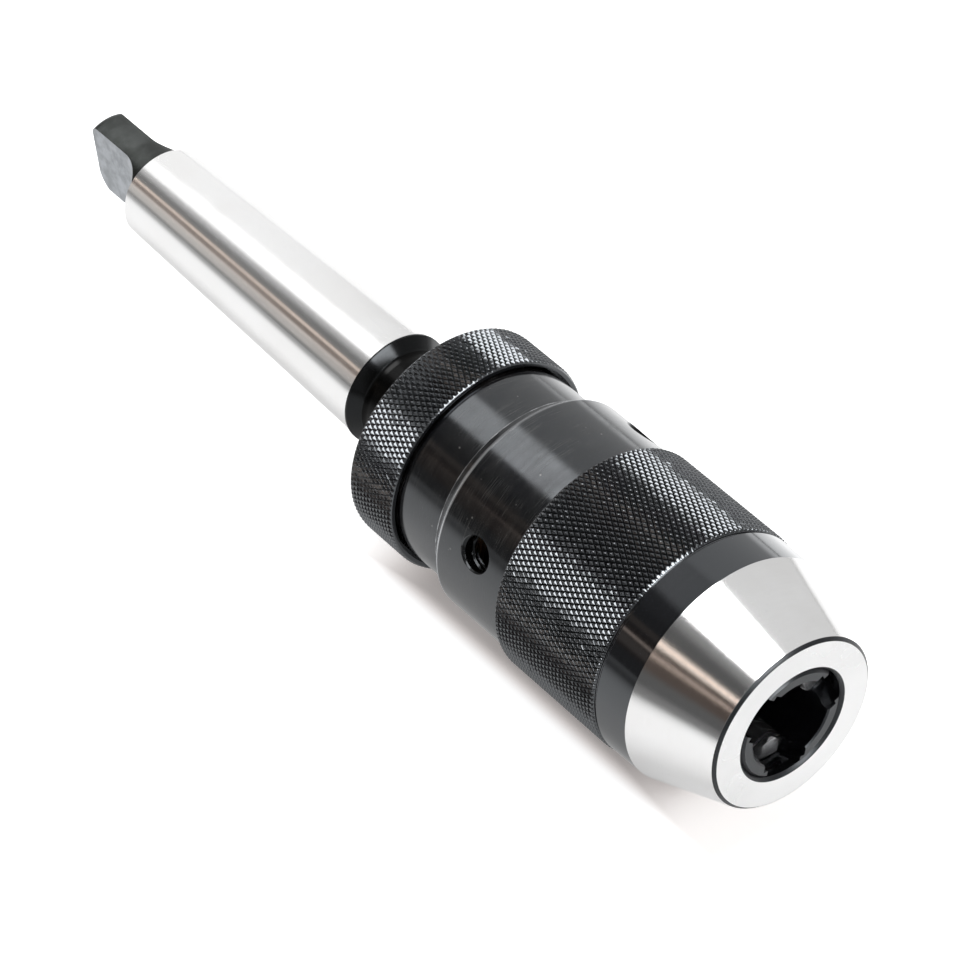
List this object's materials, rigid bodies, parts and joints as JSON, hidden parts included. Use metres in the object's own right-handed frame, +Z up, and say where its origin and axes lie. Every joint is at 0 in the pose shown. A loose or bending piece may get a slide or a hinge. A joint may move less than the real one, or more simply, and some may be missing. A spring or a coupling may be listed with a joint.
{
  "type": "keyless drill chuck",
  "caption": "Keyless drill chuck on a taper shank: turning the knurled sleeve moves self-centring jaws along the inside of a coned nose.",
  "frame": {"origin": "centre of the shank's large end, where it meets the chuck body", "axes": "+X along the spindle axis towards the nose, +Z up with the chuck lying on its side"},
  "size_m": [0.2163, 0.0504, 0.0504],
  "materials": {
    "ground_steel": "ground bright with fine lengthwise streaks",
    "gloss_black": "black oxide, glossy",
    "black_knurl": "black oxide over diamond knurl",
    "bright_steel": "plain bright steel",
    "spring_steel": "phosphated spring steel",
    "satin_black": "black oxide, satin turned",
    "rubber": "nitrile rubber",
    "bearing_steel": "hardened and polished",
    "brass": "stamped brass",
    "bronze": "plain bearing bronze",
    "ground_hood": "black oxide with a ground cone and nose",
    "black_guide": "black oxide",
    "jaw_steel": "hardened steel, dark with ground grips"
  },
  "bodies": {
    "root": {"taper_arbor": "ground_steel", "chuck_body": "gloss_black", "rear_grip_ring": "black_knurl", "ring_key": "bright_steel", "ring_circlip": "spring_steel", "body_race": "bearing_steel"},
    "sleeve": {"outer_sleeve": "satin_black", "nose_hood": "ground_hood", "jaw_guide": "black_guide", "sleeve_race": "bearing_steel", "dust_o_ring": "rubber", "thrust_washer": "bronze"},
    "ball_train": {"thrust_balls": "bearing_steel", "ball_cage": "brass"},
    "screw": {"drive_screw": "black_guide"},
    "jaw_1": {"jaw_1": "jaw_steel"},
    "jaw_2": {"jaw_2": "jaw_steel"},
    "jaw_3": {"jaw_3": "jaw_steel"}
  },
  "joints": [
    {"name": "sleeve_turn", "type": "hinge", "parent": "root", "child": "sleeve", "pos_m": [0, 0, 0], "axis": [-1, 0, 0], "range_deg": [-650, 2399]},
    {"name": "ball_cage_turn", "type": "hinge", "parent": "root", "child": "ball_train", "pos_m": [0, 0, 0], "axis": [-1, 0, 0], "range_deg": [-326, 1201]},
    {"name": "screw_feed", "type": "slide", "parent": "sleeve", "child": "screw", "axis": [1, 0, 0], "range_m": [-0.00452, 0.01666]},
    {"name": "jaw_1_slide", "type": "slide", "parent": "sleeve", "child": "jaw_1", "axis": [0.9426, -0.3106, -0.1223], "range_m": [-0.00479, 0.01768]},
    {"name": "jaw_2_slide", "type": "slide", "parent": "sleeve", "child": "jaw_2", "axis": [0.9426, 0.2612, -0.2078], "range_m": [-0.00479, 0.01768]},
    {"name": "jaw_3_slide", "type": "slide", "parent": "sleeve", "child": "jaw_3", "axis": [0.9426, 0.0493, 0.3301], "range_m": [-0.00479, 0.01768]}
  ],
  "couplings": [
    {"joint": "ball_cage_turn", "follows": "sleeve_turn", "ratio": 0.5},
    {"joint": "screw_feed", "follows": "sleeve_turn", "m_per_rad": 0.00039789},
    {"joint": "jaw_1_slide", "follows": "sleeve_turn", "m_per_rad": 0.0004221},
    {"joint": "jaw_2_slide", "follows": "sleeve_turn", "m_per_rad": 0.0004221},
    {"joint": "jaw_3_slide", "follows": "sleeve_turn", "m_per_rad": 0.0004221}
  ]
}
